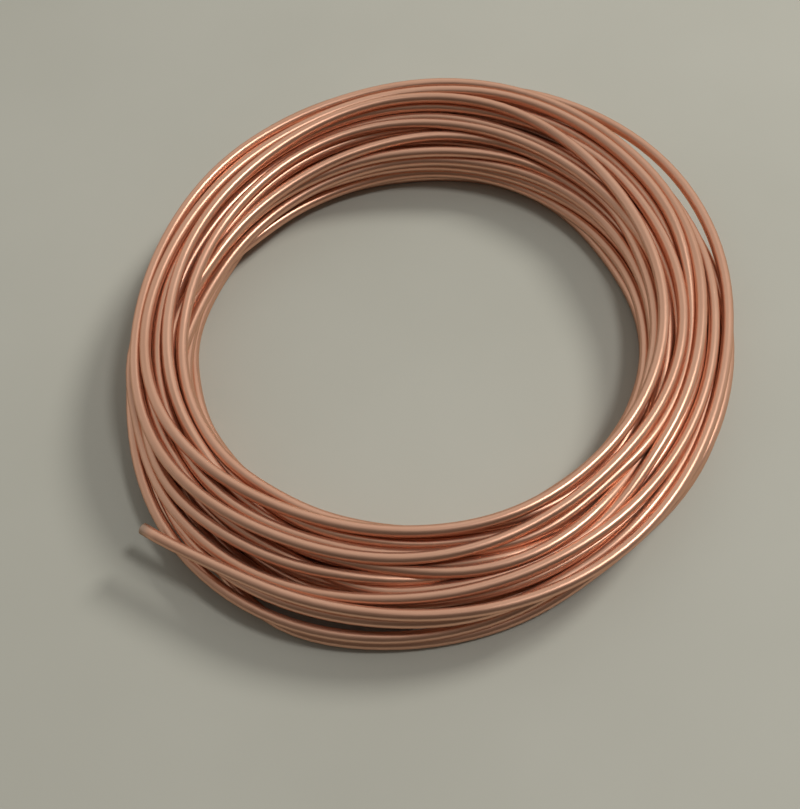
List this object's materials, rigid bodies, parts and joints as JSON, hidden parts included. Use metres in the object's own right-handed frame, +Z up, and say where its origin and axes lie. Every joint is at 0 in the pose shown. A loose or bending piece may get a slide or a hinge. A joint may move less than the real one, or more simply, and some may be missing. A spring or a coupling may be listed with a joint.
{
  "type": "copper tube coil",
  "caption": "Coil of soft bare copper tube wound by hand into a flat loose ring around an open eye, with one free end lying off the outside.",
  "frame": {"origin": "on the floor under the centre of the coil's eye", "axes": "+Z up along the coil's axis; -Y towards the viewer and +X to the right as pictured"},
  "size_m": [0.1624, 0.1624, 0.0195],
  "materials": {
    "copper": "bare drawn copper, satin to semi-bright, with fine draw lines along the tube"
  },
  "bodies": {
    "root": {"tube_coil": "copper"}
  },
  "joints": []
}
